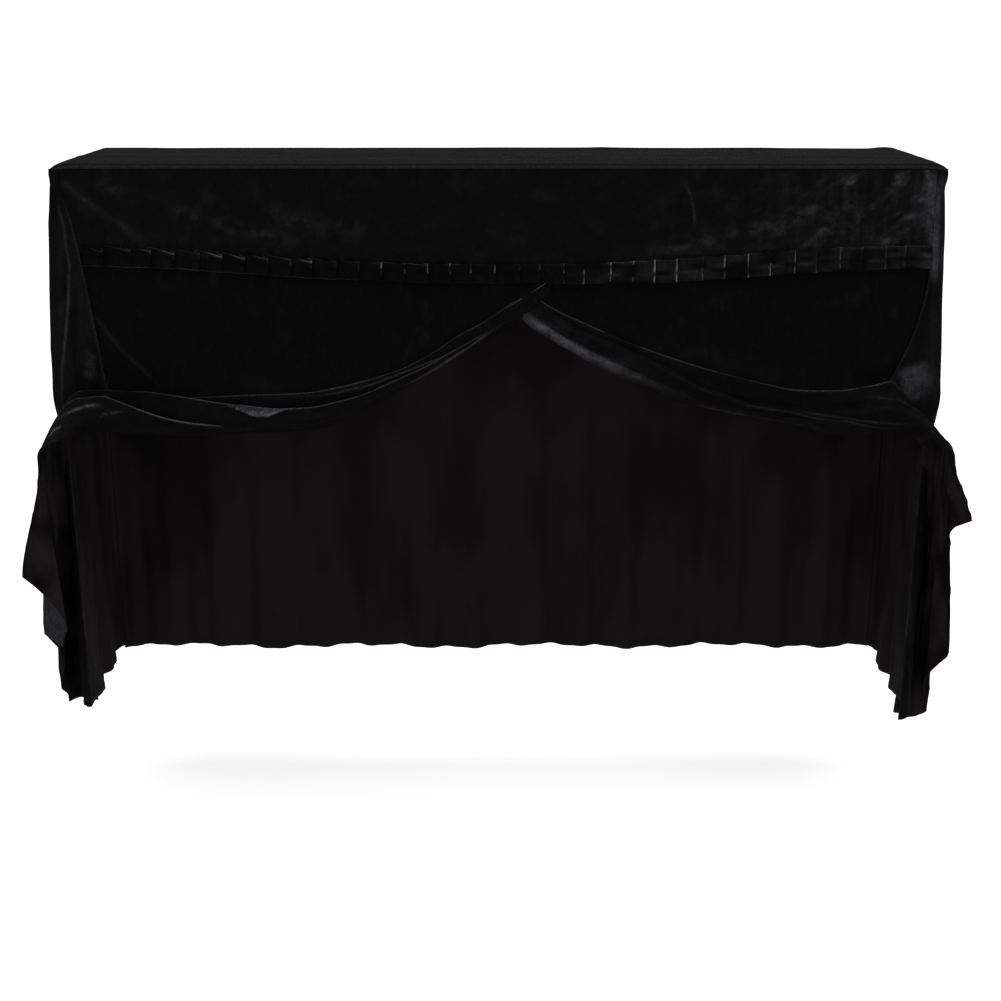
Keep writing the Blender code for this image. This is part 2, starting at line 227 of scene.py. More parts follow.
def smooth_line(knots, at):
    """A monotone cubic through (place, value, ...) knots, at these places: one column for each value."""
    knots = np.array(knots, float)
    x, y = knots[:, 0], knots[:, 1:]
    h = np.diff(x)[:, None]
    slope = np.diff(y, axis=0) / h
    tangent = np.zeros_like(y)
    tangent[0], tangent[-1] = slope[0], slope[-1]
    same = slope[:-1] * slope[1:] > 0
    wa, wb = 2 * h[1:] + h[:-1], h[1:] + 2 * h[:-1]
    with np.errstate(divide="ignore", invalid="ignore"):
        inner = (wa + wb) / (wa / slope[:-1] + wb / slope[1:])
    tangent[1:-1] = np.where(same, inner, 0.0)
    at = np.clip(np.asarray(at, float), x[0], x[-1])
    i = np.clip(np.searchsorted(x, at, side="right") - 1, 0, len(x) - 2)
    t = ((at - x[i]) / h[i, 0])[..., None]
    a, b, ta, tb, w = y[i], y[i + 1], tangent[i], tangent[i + 1], h[i]
    return (a * (1 + 2 * t) * (1 - t) ** 2 + w * ta * t * (1 - t) ** 2
            + b * t * t * (3 - 2 * t) - w * tb * t * t * (1 - t))


def lattice(x, y, z, seed):
    n = (x * 374761393 + y * 668265263 + z * 1440662683 + seed * 1274126177) & 0xFFFFFFFF
    n = ((n ^ (n >> 13)) * 1274126177) & 0xFFFFFFFF
    return (n ^ (n >> 16)) / 4294967295.0


def noise(points, seed=0):
    """Smooth noise from -1 to 1 at these points."""
    cell = np.floor(points).astype(np.int64)
    f = points - cell
    f = f * f * f * (f * (f * 6 - 15) + 10)
    total = 0.0
    for dx in (0, 1):
        for dy in (0, 1):
            for dz in (0, 1):
                w = ((f[..., 0] if dx else 1 - f[..., 0]) * (f[..., 1] if dy else 1 - f[..., 1])
                     * (f[..., 2] if dz else 1 - f[..., 2]))
                total = total + w * lattice(cell[..., 0] + dx, cell[..., 1] + dy, cell[..., 2] + dz, seed)
    return total * 2 - 1


def fractal(points, scale, octaves=3, seed=0):
    """Noise with finer and weaker noise laid over it, from about -1 to 1."""
    total, amount, size = 0.0, 1.0, np.asarray(scale, float)
    for k in range(octaves):
        total = total + amount * noise(points / size, seed + 17 * k)
        amount, size = amount * 0.5, size * 0.5
    return total / (2 - 2 * 0.5 ** octaves)


def creases(points, scale, seed=0, sharp=3.0):
    """0 to 1, highest along thin wandering lines."""
    return (1 - np.abs(noise(points / np.asarray(scale, float), seed))) ** sharp


def distance_to(line, u, v):
    """Distance of points (u, v) from a broken line, and how far along it, 0 to 1, the nearest place is."""
    line = np.array(line, float)
    lengths = np.linalg.norm(np.diff(line, axis=0), axis=1)
    starts = np.concatenate([[0], np.cumsum(lengths)]) / lengths.sum()
    best, along = np.full(np.shape(u), 1e9), np.zeros(np.shape(u))
    for k, (a, b) in enumerate(zip(line, line[1:])):
        d = b - a
        t = np.clip(((u - a[0]) * d[0] + (v - a[1]) * d[1]) / (d @ d), 0, 1)
        away = np.hypot(u - a[0] - d[0] * t, v - a[1] - d[1] * t)
        nearer = away < best
        best = np.where(nearer, away, best)
        along = np.where(nearer, mix(starts[k], starts[k + 1], t), along)
    return best, along


def stroke(line, width, u, v, amount, profile=((0, 0), (0.15, 1), (0.85, 1), (1, 0))):
    """A soft band along a line. profile gives its strength along it."""
    away, along = distance_to(from_mm(line), u, v)
    places, values = zip(*profile)
    return amount * bell(away, width) * np.interp(along, places, values)


def normals(grid):
    return unit(np.cross(np.gradient(grid, axis=1), np.gradient(grid, axis=0)))


# Materials


class Nodes:
    """One material, with short ways to add and join its nodes."""

    def __init__(self, name):
        self.material = bpy.data.materials.new(name)
        self.material.use_nodes = True
        self.tree = self.material.node_tree
        self.shader = self.tree.nodes["Principled BSDF"]
        self.where = self.tree.nodes.new("ShaderNodeTexCoord").outputs["Object"]

    def join(self, value, socket):
        """Gives a socket a value, or what another node puts out."""
        if isinstance(value, bpy.types.NodeSocket):
            self.tree.links.new(value, socket)
        else:
            socket.default_value = value

    def add(self, kind, output, inputs, **settings):
        """Adds a node, and returns the named one of its outputs."""
        node = self.tree.nodes.new(kind)
        for key, value in settings.items():
            setattr(node, key, value)
        for key, value in inputs.items():
            self.join(value, node.inputs[key])
        return node.outputs[output]

    def pattern(self, scale, detail, stretch=(1, 1, 1), roughness=0.5):
        place = self.add("ShaderNodeMapping", "Vector", {"Vector": self.where, "Scale": stretch})
        inputs = {"Vector": place, "Scale": scale, "Detail": detail, "Roughness": roughness}
        return self.add("ShaderNodeTexNoise", "Fac", inputs)

    def spread(self, value, low, high, to_low, to_high):
        """Brings the range from low to high smoothly to another one."""
        inputs = {"Value": value, "From Min": low, "From Max": high, "To Min": to_low, "To Max": to_high}
        return self.add("ShaderNodeMapRange", "Result", inputs, interpolation_type="SMOOTHSTEP")

    def math(self, kind, *values, clamp=False):
        return self.add("ShaderNodeMath", "Value", dict(enumerate(values)), operation=kind, use_clamp=clamp)

    def colour(self, share, dark, light):
        inputs = {"Factor": share, "A": (*dark, 1), "B": (*light, 1)}
        mixed = self.add("ShaderNodeMix", "Result", inputs, data_type="RGBA")
        self.join(mixed, self.shader.inputs["Base Color"])

    def bump(self, height, strength, distance):
        inputs = {"Height": height, "Strength": strength, "Distance": distance}
        return self.add("ShaderNodeBump", "Normal", inputs)

    def finish(self, **values):
        """Sets the shader's sockets, whose names are given with _ for each space."""
        for key, value in values.items():
            self.join(value, self.shader.inputs[key.replace("_", " ")])
        return self.material


def velvet(name, dark, light):
    """Black cotton velvet: short upright pile, near black from in front and silvery where it turns away."""
    nodes = Nodes(name)
    # Large clouds where the pile leans another way, and small crush marks within them
    clouds = nodes.spread(nodes.pattern(7, 3), 0.45, 0.72, 0, 1)
    crush = nodes.spread(nodes.pattern(46, 4, (1, 1, 0.6), 0.65), 0.46, 0.74, 0, 0.02)
    threads = nodes.spread(nodes.pattern(105, 5, (1, 1, 0.5), 0.7), 0.52, 0.78, 0.0025, 0.013)
    base = nodes.math("ADD", nodes.math("MULTIPLY", clouds, crush), threads)
    # Painted sheen and highlights, partly crushed pile, which each mesh keeps at its points
    pile_and_painted_sheen = nodes.add("ShaderNodeAttribute", "Fac", {}, attribute_name="pile_and_painted_sheen")
    sheen_breakup = nodes.spread(nodes.pattern(150, 4, (1, 1, 1), 0.7), 0.30, 0.66, 0.55, 1.15)
    share = nodes.math("ADD", nodes.math("MULTIPLY", pile_and_painted_sheen, sheen_breakup), base, clamp=True)
    tufts = nodes.pattern(420, 2, (1, 1, 1), 0.6)
    grain = nodes.spread(tufts, 0.3, 0.7, 0.75, 1.2)
    # The base colour runs from dark towards light, the painted highlight colour
    nodes.colour(nodes.math("MULTIPLY", share, grain, clamp=True), dark, light)
    # The pile's own unevenness, under softer dents
    rough = nodes.bump(tufts, 0.55, 0.0006)
    soft = nodes.bump(nodes.pattern(34, 3, (1, 1, 0.7)), 0.5, 0.0035)
    nodes.join(rough, soft.node.inputs["Normal"])
    return nodes.finish(
        Roughness=nodes.spread(tufts, 0.3, 0.7, 0.82, 0.98), Specular_IOR_Level=0.006, Sheen_Weight=0.0055,
        Sheen_Roughness=0.20, Sheen_Tint=(0.98, 0.86, 0.99, 1), Normal=soft)


def backing(name, light, blotch, contrast):
    """The woven back of the velvet, matt charcoal, uneven in upright bands."""
    nodes = Nodes(name)
    thread = {"Vector": nodes.where, "Scale": 330, "Distortion": 1.5, "Detail": 1}
    across = nodes.add("ShaderNodeTexWave", "Fac", thread, bands_direction="X")
    down = nodes.add("ShaderNodeTexWave", "Fac", thread, bands_direction="Z")
    weave = nodes.math("MULTIPLY", across, down)
    bands = nodes.pattern(blotch, 4, (1, 1, 0.45))
    uneven = nodes.spread(bands, 0.32, 0.68, 0.5 - contrast, 0.5 + contrast)
    nodes.colour(nodes.math("MULTIPLY_ADD", weave, 0.45, uneven), (0.0008, 0.0007, 0.0007), light)
    return nodes.finish(Roughness=0.95, Specular_IOR_Level=0.02, Normal=nodes.bump(weave, 0.4, 0.0005))


# Cloth, and the panels round the lid


def cloth(name, grid, pile_and_painted_sheen, facing, material, inside, thickness=VELVET, hem=None):
    """A closed sheet about a grid of points, whose outer side looks in the direction facing on average."""
    if (normals(grid) @ np.array(facing, float)).mean() < 0:
        grid, pile_and_painted_sheen, hem = grid[:, ::-1], pile_and_painted_sheen[:, ::-1], None if hem is None else hem[:, ::-1]
    rows, columns = grid.shape[:2]
    half = np.full((rows, columns, 1), thickness / 2)
    if hem is not None:
        half = half * hem[..., None]
    out = normals(grid)
    points = np.concatenate([(grid + out * half).reshape(-1, 3), (grid - out * half).reshape(-1, 3)])
    i = (np.arange(rows - 1)[:, None] * columns + np.arange(columns - 1)).ravel()
    front = np.stack([i, i + 1, i + columns + 1, i + columns], 1)
    back = front[:, ::-1] + rows * columns
    ring = np.concatenate([
        np.arange(columns), np.arange(1, rows) * columns + columns - 1,
        (rows - 1) * columns + np.arange(columns - 2, -1, -1), np.arange(rows - 2, 0, -1) * columns,
    ])
    after = np.roll(ring, -1)
    rim = np.stack([after, ring, ring + rows * columns, after + rows * columns], 1)
    faces = np.concatenate([front, rim, back])
    mesh = bpy.data.meshes.new(name)
    mesh.from_pydata(points.tolist(), [], faces.tolist())
    mesh.materials.append(material)
    mesh.materials.append(inside)
    index = np.zeros(len(faces), np.int32)
    index[len(front) + len(rim):] = 1
    mesh.polygons.foreach_set("material_index", index)
    mesh.shade_smooth()
    marks = mesh.attributes.new("pile_and_painted_sheen", "FLOAT", "POINT")
    marks.data.foreach_set("value", np.concatenate([pile_and_painted_sheen.ravel(), pile_and_painted_sheen.ravel()]).astype(np.float32))
    piece = bpy.data.objects.new(name, mesh)
    bpy.context.scene.collection.objects.link(piece)
    return piece


def hem_of(grid, extra=0.7):
    """Thickness factor: a turned-up hem along the bottom edge, with the stitching's dent above it."""
    steps = np.linalg.norm(np.diff(grid[::-1], axis=0), axis=2)
    up = np.concatenate([np.zeros((1, steps.shape[1])), np.cumsum(steps, 0)])[::-1]
    turned = extra * (1 - eased((up - HEM_HEIGHT) / 0.002))
    dent = 0.35 * bell(up - HEM_HEIGHT, 0.0015)
    return 1 + turned - dent


def half_width(side, depth):
    return HALF_WIDTH + SEAMS[side]["flare"] * np.minimum(1.0, depth / FLARE_END)


def corner_radius(depth):
    return mix(LID_CORNER_RADIUS, HEM_CORNER_RADIUS, depth / DROP)


def corner_x(side, depth):
    return half_width(side, depth) - corner_radius(depth)


def seam_x(side, depth):
    seam = SEAMS[side]
    top = corner_x(side, 0.0) - 0.0015
    moved = np.clip((depth - seam["start"]) / seam["span"], 0.0, 1.0)
    inward = top - seam["inward"] * moved ** seam["power"]
    back = eased((depth - seam["recede"]) / (seam["corner_by"] - seam["recede"]))
    return mix(inward, corner_x(side, depth) - 0.004, back)


def skirt_runs(depth):
    radius = corner_radius(depth)
    return radius * math.pi / 2, 2 * (HALF_DEPTH - radius)


def skirt_point(side, run, depth, stand_off):
    """x and y of the skirt at this distance round from the front corner's start, for arrays."""
    radius = corner_radius(depth)
    bend, straight = skirt_runs(depth)
    start = corner_x(side, depth)
    turn = np.select(
        [run < 0, run < bend, run < bend + straight, run < 2 * bend + straight],
        [0 * run, run / radius, 0 * run + math.pi / 2, (run - straight) / radius], 0 * run + math.pi)
    x = start + radius * np.sin(turn)
    y = -HALF_DEPTH + radius * (1 - np.cos(turn))
    x = np.where(run < 0, start + run, x)
    y = np.where((run >= bend) & (run < bend + straight), radius - HALF_DEPTH + run - bend, y)
    late = (run >= bend + straight) & (run < 2 * bend + straight)
    y = np.where(late, HALF_DEPTH - radius - radius * np.cos(turn), y)
    x = np.where(run >= 2 * bend + straight, start - (run - 2 * bend - straight), x)
    y = np.where(run >= 2 * bend + straight, HALF_DEPTH, y)
    return SIGNS[side] * (x + stand_off * np.sin(turn)), y - stand_off * np.cos(turn)


def valance_bottom(x):
    return -mix(0.166, 0.134, eased((np.abs(x) - 0.08) / 0.65))


def flute(run, depth, phase):
    growth = eased((depth - FLUTE_START) / (DROP - FLUTE_START))
    angle = math.pi * run / FLUTE_PITCH
    wave = np.sin(2 * angle + phase) + 0.35 * np.sin(4.7 * angle)
    return FLUTE_DEPTH * growth * wave / 1.35


def top_panel(material, inside):
    """The lid's cloth: loose by a few millimetres, and turned down over the lid's edge."""
    radius, turn = LID_CORNER_RADIUS, LID_EDGE_RADIUS

    def places(half, steps):
        inner = np.linspace(-(half - turn), half - turn, steps)
        over = turn * np.sin(np.linspace(0, math.pi / 2, 8)[1:])
        return np.concatenate([-(half - turn) - over[::-1], inner, half - turn + over])

    x, y = np.meshgrid(places(HALF_WIDTH, 264), places(HALF_DEPTH, 70))
    over_x = np.maximum(0, np.abs(x) - HALF_WIDTH + radius)
    over_y = np.maximum(0, np.abs(y) - HALF_DEPTH + radius)
    reach = np.maximum(over_x, over_y)
    length = np.maximum(np.hypot(over_x, over_y), 1e-9)
    px = np.copysign(np.abs(x) - over_x + over_x * reach / length, x)
    py = np.copysign(np.abs(y) - over_y + over_y * reach / length, y)
    fall = turn - np.sqrt(np.maximum(0, turn ** 2 - np.maximum(0, reach - radius + turn) ** 2))
    in_front = bell(py + HALF_DEPTH, 0.06)
    grid = np.stack([px + np.sign(px) * 0.0040 * in_front * (fall / turn) ** 2, py, VELVET / 2 - fall], 2)
    flat = np.stack([px, py, 0 * px], 2)
    inner = eased((radius - reach) / 0.012)
    lift = 0.0016 * fractal(flat, (0.30, 0.07, 1), 3, 5) + 0.0010 * creases(flat, (0.42, 0.055, 1), 9, 6)
    # The seam allowance inside makes a low roll along the edges
    edge = np.minimum(HALF_WIDTH - np.abs(px), HALF_DEPTH - np.abs(py))
    lift = lift * inner + 0.0011 * bell(edge - 0.011, 0.005)
    back_ridge = [(-760, 0), (-400, -0.3), (-200, 0.6), (0, 1.4), (200, 1.8), (350, 1.4), (500, 2.4),
                  (560, 0.8), (640, 0), (700, -0.3), (737, 3.4), (760, 0)]
    ridge = smooth_line(from_mm(back_ridge), px)[..., 0]
    lift += ridge * bell(py - 0.168, 0.014) * (1 - eased(fall / turn))
    # Towards the front corners the cloth falls away a little
    lift -= 0.0026 * bell(HALF_WIDTH - np.abs(px), 0.022) * bell(py + HALF_DEPTH, 0.05)
    grid[..., 2] += np.maximum(lift, -0.0030)
    # Painted sheen, lighter towards the back, and a painted highlight along the front edge where the cloth
    # turns down
    back = eased((py + HALF_DEPTH) / (2 * HALF_DEPTH))
    pile_and_painted_sheen = 0.002 + 0.003 * back + 0.010 * np.maximum(0, fractal(flat, (0.22, 0.02, 1), 3, 31))
    pile_and_painted_sheen = pile_and_painted_sheen + 0.070 * bell(fall - 0.0030, 0.0026)
    return cloth("velvet_top", grid, pile_and_painted_sheen, (0, 0, 1), material, inside)


def valance(material, inside):
    """The front's upper panel: flat, with the drag lines and crush marks of cloth stretched over a lid."""
    u = np.linspace(-1, 1, 560)[None, :]
    v = np.concatenate([np.linspace(0, 0.06, 5)[:-1], np.linspace(0.06, 1, 62)])[:, None]
    top_depth, low_depth = -SKIRT_TOP, 0.148
    depth = mix(top_depth, low_depth, v) + 0 * u
    end = np.where(u < 0, seam_x("left", depth), seam_x("right", depth)) - SEAM_GAP
    x = u * end
    bottom = valance_bottom(x) - VALANCE_BELOW_RUFFLE_TOP
    z = mix(SKIRT_TOP, bottom, v)
    plane = np.stack([x, 0 * x, z], 2)
    # Height over the ruffle's seam, where the gathers pull the cloth into short dimples
    above = z - (valance_bottom(x) - 0.010)
    gathers = np.sin(2 * math.pi * x / 0.0193 + 2 * noise(plane * 9, 3))
    dimples = np.exp(-np.maximum(0, above) / 0.016) * gathers
    out = 0.0007 * fractal(plane, (0.11, 1, 0.09), 3, 7) + 0.0006 * dimples
    drag_left = [(-753, -14), (-713, -52), (-670, -83), (-639, -104), (-610, -128)]
    band_left = [(-575, -70), (-537, -80), (-506, -90), (-437, -108), (-384, -121), (-335, -136)]
    band_right = [(237, -150), (278, -142), (347, -130), (424, -112), (500, -92), (567, -66), (600, -45)]
    out += stroke(drag_left, 0.010, x, z, 0.0022) + stroke(band_left, 0.014, x, z, 0.0016)
    out += stroke(band_right, 0.015, x, z, 0.0018)
    out = out * eased(v / 0.10) * eased((1 - np.abs(u)) / 0.006)
    grid = np.stack([x, FRONT_Y - 0.0004 - np.maximum(out, -0.0004), z], 2)
    ragged = np.clip(0.45 + 1.2 * fractal(plane, (0.020, 1, 0.014), 4, 21), 0, 1.6)
    streaks = np.clip(0.4 + 1.3 * fractal(plane, (0.008, 1, 0.040), 3, 44), 0, 1.6)
    # Pile brushed to run up to the right, as on the right end, with its sheen painted lighter
    lean = math.radians(40)
    along, across = x * math.cos(lean) + z * math.sin(lean), z * math.cos(lean) - x * math.sin(lean)
    slanted = np.stack([along, 0 * x, across], 2)
    brushed_sheen = np.clip(0.25 + 1.6 * fractal(slanted, (0.045, 1, 0.011), 3, 90), 0, 1.6)
    # Painted highlights along the drag lines and bands, and painted sheen on the right end's brushed pile, at
    # its seam and over the gathers' dimples
    pile_and_painted_sheen = 0.004 + stroke(drag_left, 0.0046, x, z, 0.027) * (0.5 + 0.6 * ragged)
    pile_and_painted_sheen += stroke(drag_left, 0.0110, x, z, 0.018) * ragged
    pile_and_painted_sheen += stroke([(-690, -26), (-658, -35), (-632, -50)], 0.011, x, z, 0.045) * ragged
    pile_and_painted_sheen += stroke(band_left, 0.012, x, z, 0.040) * ragged
    pile_and_painted_sheen += stroke(band_right, 0.013, x, z, 0.055) * ragged
    pile_and_painted_sheen += stroke([(-400, -60), (-375, -85), (-300, -105), (-220, -112)], 0.018, x, z, 0.030) * ragged
    right_end = eased((x - 0.34) / 0.30)
    pile_and_painted_sheen += (0.022 * streaks + 0.074 * brushed_sheen * ragged ** 1.5) * right_end * eased((-z) / 0.02)
    pile_and_painted_sheen += 0.085 * bell(x - 0.741 + 0.10 * (z + 0.08), 0.012) * (0.3 + streaks)
    pile_and_painted_sheen += stroke([(548, -118), (575, -80), (600, -50)], 0.008, x, z, 0.10) * ragged
    pile_and_painted_sheen += stroke([(312, -18), (328, -48), (332, -65), (339, -106)], 0.0022, x, z, 0.05) * (0.4 + ragged)
    pile_and_painted_sheen += stroke([(365, -24), (372, -60)], 0.0060, x, z, 0.03) * ragged
    pile_and_painted_sheen += 0.012 * np.clip(fractal(plane, (0.035, 1, 0.025), 4, 60), 0, 1)
    pile_and_painted_sheen += 0.05 * np.exp(-np.maximum(0, above) / 0.010) * np.clip(dimples, 0, 1) * ragged
    return cloth("velvet_valance", grid, pile_and_painted_sheen, (0, -1, 0), material, inside)


def ruffle(material, inside):
    """Knife pleats that overlap one another, on a heading that flops forward on the left."""
    low = 0.134 + RUFFLE_HEIGHT
    left_end, right_end = -(seam_x("left", low) - 0.002), seam_x("right", low) - 0.002
    pleats = 37
    pitch = (right_end - left_end) / pleats
    # One pleat in plan: across (in pitches), how far it stands out (0 to 1), and how much painted highlight its
    # fold edge gets
    shape = np.array([
        (0.00, 0.10, 0), (0.16, 0.24, 0), (0.34, 0.42, 0), (0.52, 0.60, 0), (0.70, 0.78, 0),
        (0.84, 0.92, 0), (0.92, 0.99, 0), (0.955, 1.00, 0.35), (0.98, 0.99, 1), (1.00, 0.88, 1),
        (0.985, 0.72, 0.3), (0.93, 0.64, 0), (0.86, 0.52, 0), (0.82, 0.34, 0), (0.86, 0.16, 0),
        (0.93, 0.10, 0),
    ])
    n = np.arange(pleats)[:, None]
    jitter = 0.26 * (lattice(n, 0 * n, 0 * n, 3) - 0.5)
    fullness = mix(0.72, 1.12, lattice(n, 0 * n, 0 * n, 8))
    x = (left_end + (n + shape[None, :, 0] + jitter * shape[None, :, 1]) * pitch).ravel()
    height = (shape[None, :, 1] * fullness).ravel()
    edge = np.repeat(shape[None, :, 2], pleats, 0).ravel()
    phase = (n + shape[None, :, 0]).ravel()
    level = np.concatenate([np.linspace(0, 0.30, 9), np.linspace(0.35, 1, 16)])[:, None]
    x, height, edge, phase = (a[None, :] + 0 * level for a in (x, height, edge, phase))
    x = np.clip(x, left_end, right_end)
    leftness = eased((-x - 0.16) / 0.30)
    rightness = eased((x - 0.04) / 0.25)
    rough = fractal(np.stack([phase * 0.7, 0 * phase, level * 2 + 0 * phase], 2), (1, 1, 1), 2, 77)
    # The heading's edge: each pleat's corner droops on the left, and stands up a little on the right
    droop = mix(0.0022, 0.0090, leftness) * np.clip(height, 0, 1) ** 1.4 - 0.0016 * edge * (1 - leftness)
    top = valance_bottom(x) + 0.0015 - droop * (1 - level) ** 2
    tall = mix(mix(0.0335, 0.036, leftness), 0.0405, rightness)
    z = top - (tall + 0.0014 * rough) * level
    seam = bell(level - mix(0.5, 0.62, rightness), 0.07)
    spring = mix(0.80, 1.12, level) * (1 - 0.35 * seam) + 0.12 * rough
    y = FRONT_Y - 0.0027 - 0.0060 * height * spring + 0.0005 * seam
    y = y - 0.0022 * leftness * (1 - level) ** 3 * height
    x = x + (0.06 * leftness * (1 - level) * height * pitch + 0.0016 * rough * level)
    grid = np.stack([x, y, z], 2)
    spots = np.stack([phase * 1.3, 0 * phase, level * 5 + 0 * phase], 2)
    bits = np.clip(0.62 + 1.1 * noise(spots, 5), 0, 1.7)
    by_pleat = np.stack([np.floor(phase) * 0.77, 0 * phase, 0 * phase], 2)
    per_pleat = np.clip(0.7 + 0.9 * noise(by_pleat, 15), 0.15, 1.5)
    upper = 1 - eased((level - 0.45) / 0.12)
    two_parts = 1 - 0.85 * bell(level - 0.62, 0.09)
    along = mix(mix(0.34, 0.05, leftness) * upper, 0.54 * two_parts, rightness)
    # Painted highlights along the fold edges, at the heading and along the hem
    pile_and_painted_sheen = edge * along * bits * per_pleat
    pile_and_painted_sheen += 0.34 * leftness * bell(level, 0.085) * np.clip(height * 1.7 - 0.75, 0, 1) * per_pleat
    pile_and_painted_sheen += 0.002 + 0.024 * rightness * bits + 0.06 * bell(level, 0.045) * bits * (0.3 + 0.7 * per_pleat)
    pile_and_painted_sheen += mix(0.03, 0.16, leftness) * (1 - rightness) * bell(1 - level, 0.028) * (0.2 + 0.6 * bits)
    pile_and_painted_sheen += 0.03 * rightness * seam * bits
    # The last pleat on the right is turned up against the side panel's seam, with a painted highlight on it
    last_pleat = eased((x - right_end + 0.022) / 0.012) * eased((level - 0.15) / 0.3)
    pile_and_painted_sheen += 0.09 * last_pleat * (0.4 + rough * 0.5 + 0.4 * bits)
    return cloth("velvet_ruffle", grid, pile_and_painted_sheen, (0, -1, 0), material, inside, 0.0013)


def side_panel(side, material, inside):
    """Hangs from the lid's side edge and wraps round the front corner as far as the curtain's seam."""
    seam = SEAMS[side]
    depth = np.concatenate([np.linspace(-SKIRT_TOP, 0.40, 80)[:-1], np.linspace(0.40, DROP, 76)])[:, None]
    share = np.linspace(0, 1, 144)[None, :]
    bend, straight = skirt_runs(depth)
    front = seam_x(side, depth) - corner_x(side, depth)
    last = 1.5 * bend + straight - BACK_SEAM_GAP
    # Closer columns on the front, where the panel is seen from the keyboard side
    knee = 0.34
    on_side = mix(0.07, last, (share - knee) / (1 - knee))
    run = np.where(share < knee, mix(front, 0.07, share / knee), on_side)
    behind = eased((run - bend - 0.10) / 0.06)
    fine_flute = flute(run, depth, 0.6) * behind * eased((1.5 * bend + straight - run) / 0.04)
    stand = fine_flute - seam["press"] * eased((depth - 0.38) / 0.13) * eased(run / bend) * (1 - behind)
    plane = np.stack([run, 0 * run, depth + 0 * run], 2)
    edges = eased(depth / 0.03) * eased((last - run) / 0.01)
    free = eased((run - front) / 0.012)
    wrinkles = 0.0011 * fractal(plane, (0.045, 1, 0.30), 3, 11 + seam_seed(side))
    wrinkles += 0.0016 * free * creases(plane, (0.05, 1, 0.22), 71 + seam_seed(side), 5)
    wrinkles += 0.0035 * behind * eased((depth - 0.3) / 0.5) * fractal(plane, (0.07, 1, 0.5), 3, 5)
    stand = stand + edges * wrinkles
    stand = stand + (1 - free) * 0.0004
    puff = smooth_line(from_mm(PUFF), depth)[..., 0 if side == "left" else 1]
    stand = stand + puff * eased(run / bend) * (1 - eased((run - 0.12) / 0.15))
    x, y = skirt_point(side, run, depth, np.maximum(stand, -0.0175))
    z = -depth + HEM_WAVE * np.sin(run * 23.0) * (depth / DROP) ** 4
    if side == "left":
        z = z + 0.030 * (1 - eased((run - front) / 0.07)) * eased((depth - 0.80) / (DROP - 0.80))
    grid = np.stack([x, y, z], 2)
    ragged = np.clip(0.5 + 1.2 * fractal(plane, (0.022, 1, 0.030), 4, 33), 0, 1.7)
    streaks = np.clip(0.5 + 1.3 * fractal(plane, (0.009, 1, 0.09), 3, 52), 0, 1.8)
    # Painted sheen on the front, and painted highlights along the seam, the left's ridge and in patches
    on_front = 1 - eased((run - 0.02) / 0.05)
    pile_and_painted_sheen = 0.012 * streaks * on_front + 0.012 * np.clip(fractal(plane, (0.05, 1, 0.12), 4, 61), 0, 1)
    seam_highlight = bell(run - front, 0.0022) * eased((depth - 0.05) / 0.05)
    pile_and_painted_sheen += (0.090 if side == "left" else 0.065) * seam_highlight * (0.4 + 0.6 * ragged)
    own = np.abs(x)
    if side == "left":
        ridge = [(752, -70), (745, -104), (744, -138), (741, -170), (747, -228), (757, -294),
                 (768, -356), (770.5, -390), (772.5, -420)]
        ends = ((0, 0.3), (0.3, 0.7), (0.5, 1), (0.8, 0.8), (1, 0.3))
        pile_and_painted_sheen += stroke(ridge, 0.0021, own, z, 0.13, ends) * on_front
        pile_and_painted_sheen += stroke([(700, -325), (712, -350), (722, -372)], 0.016, own, z, 0.075) * ragged * on_front
    else:
        pile_and_painted_sheen += stroke([(750, -10), (751, -100), (754, -200)], 0.010, own, z, 0.130) * (0.4 + streaks) * on_front
        pile_and_painted_sheen += stroke([(725, -340), (735, -370), (750, -405)], 0.024, own, z, 0.165) * (0.3 + ragged) * on_front
    return cloth(f"velvet_side_{side}", grid, pile_and_painted_sheen, (SIGNS[side], 0, 0), material, inside, hem=hem_of(grid))


def seam_seed(side):
    return 0 if side == "left" else 400


def back_panel(material, inside):
    """Hangs from the lid's back edge between the side panels, in soft flutes towards the hem."""
    depth = np.concatenate([np.linspace(-SKIRT_TOP, 0.40, 40)[:-1], np.linspace(0.40, DROP, 70)])[:, None]
    bend, straight = skirt_runs(depth)
    seam = 1.5 * bend + straight + BACK_SEAM_GAP
    end = 2 * bend + straight
    t = np.linspace(0, 1, 134)[None, :]
    turn = 0.05
    halves = []
    for side in ("right", "left"):
        half = corner_x(side, depth)
        run = np.where(t < turn, mix(seam, end, t / turn), mix(end, end + half, (t - turn) / (1 - turn)))
        across = half - (run - end)
        wave = flute(SIGNS[side] * across + 2.0, depth, 1.1) * eased((run - seam) / 0.05) * 0.8
        plane = np.stack([SIGNS[side] * across, 0 * run, depth + 0 * run], 2)
        wave = wave + eased(depth / 0.04) * eased((run - seam) / 0.02) * (
            0.0010 * fractal(plane, (0.08, 1, 0.30), 3, 91)
            + 0.0040 * eased((depth - 0.3) / 0.5) * fractal(plane, (0.09, 1, 0.6), 3, 15))
        x, y = skirt_point(side, run, depth, wave)
        z = -depth + HEM_WAVE * 0.6 * np.sin(x * 17.0) * (depth / DROP) ** 4
        halves.append(np.stack([x, y, z], 2))
    grid = np.concatenate([halves[0], halves[1][:, -2::-1]], 1)
    plane = grid * (1, 0, 1)
    pile_and_painted_sheen = 0.025 * np.clip(fractal(plane, (0.06, 1, 0.10), 4, 64), 0, 1)
    pile_and_painted_sheen += 0.02 * np.clip(0.2 + fractal(plane, (0.012, 1, 0.12), 3, 12), 0, 1)
    return cloth("velvet_back", grid, pile_and_painted_sheen, (0, 1, 0), material, inside, hem=hem_of(grid))


# Curtains


def curtain_y(side, share):
    return FRONT_Y + CURTAIN_BEHIND + BEHIND[side] * (1 - eased(share * 2.4))


